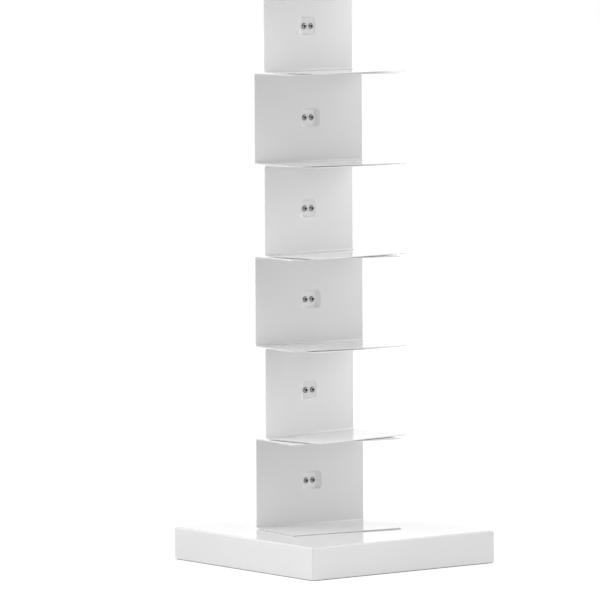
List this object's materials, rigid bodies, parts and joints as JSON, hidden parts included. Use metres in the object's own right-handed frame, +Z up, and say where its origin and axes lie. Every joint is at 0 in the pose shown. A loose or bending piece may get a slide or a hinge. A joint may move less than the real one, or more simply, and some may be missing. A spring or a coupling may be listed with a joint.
{
  "type": "spine bookshelf",
  "caption": "Tall free-standing spine bookshelf: C-shaped folded-steel shelves, turned alternately left and right, screwed to an upright square tube on a heavy square base.",
  "frame": {"origin": "on the floor, under the centre of the square base", "axes": "+Z up the column; the shelves open towards -Y and the column stands behind them at +Y; +X is to the right for someone facing the open side"},
  "size_m": [0.35, 0.35, 2.0097],
  "materials": {
    "white_powder_coat": "gloss white powder coat on sheet steel",
    "stainless_screw": "bright stainless steel button head",
    "zinc_plated_steel": "zinc plated",
    "black_painted_steel": "satin black primer",
    "ballast_iron": "as cut, oiled",
    "white_plastic": "moulded, satin",
    "black_plastic": "moulded, satin"
  },
  "bodies": {
    "tower": {"base_cover": "white_powder_coat", "cover_tabs": "zinc_plated_steel", "cover_screws": "zinc_plated_steel", "base_plate": "black_painted_steel", "ballast_slab": "ballast_iron", "ballast_screws": "zinc_plated_steel", "foot_weld_nuts": "zinc_plated_steel", "column_foot_plate": "black_painted_steel", "column_foot_screws": "zinc_plated_steel", "column_tube": "white_powder_coat", "rivet_nuts": "zinc_plated_steel", "column_top_cap": "white_plastic", "shelf_01": "white_powder_coat", "shelf_02": "white_powder_coat", "shelf_03": "white_powder_coat", "shelf_04": "white_powder_coat", "shelf_05": "white_powder_coat", "shelf_06": "white_powder_coat", "shelf_07": "white_powder_coat", "shelf_08": "white_powder_coat", "shelf_09": "white_powder_coat", "shelf_10": "white_powder_coat", "shelf_11": "white_powder_coat", "shelf_12": "white_powder_coat", "shelf_13": "white_powder_coat", "shelf_14": "white_powder_coat", "shelf_screws": "stainless_screw"},
    "levelling_foot_front_left": {"foot_glide_front_left": "black_plastic", "foot_stud_front_left": "zinc_plated_steel"},
    "levelling_foot_front_right": {"foot_glide_front_right": "black_plastic", "foot_stud_front_right": "zinc_plated_steel"},
    "levelling_foot_back_right": {"foot_glide_back_right": "black_plastic", "foot_stud_back_right": "zinc_plated_steel"},
    "levelling_foot_back_left": {"foot_glide_back_left": "black_plastic", "foot_stud_back_left": "zinc_plated_steel"}
  },
  "joints": [
    {"name": "levelling_foot_front_left_travel", "type": "slide", "parent": "tower", "child": "levelling_foot_front_left", "axis": [0, 0, -1], "range_m": [0, 0.01]},
    {"name": "levelling_foot_front_right_travel", "type": "slide", "parent": "tower", "child": "levelling_foot_front_right", "axis": [0, 0, -1], "range_m": [0, 0.01]},
    {"name": "levelling_foot_back_right_travel", "type": "slide", "parent": "tower", "child": "levelling_foot_back_right", "axis": [0, 0, -1], "range_m": [0, 0.01]},
    {"name": "levelling_foot_back_left_travel", "type": "slide", "parent": "tower", "child": "levelling_foot_back_left", "axis": [0, 0, -1], "range_m": [0, 0.01]}
  ]
}
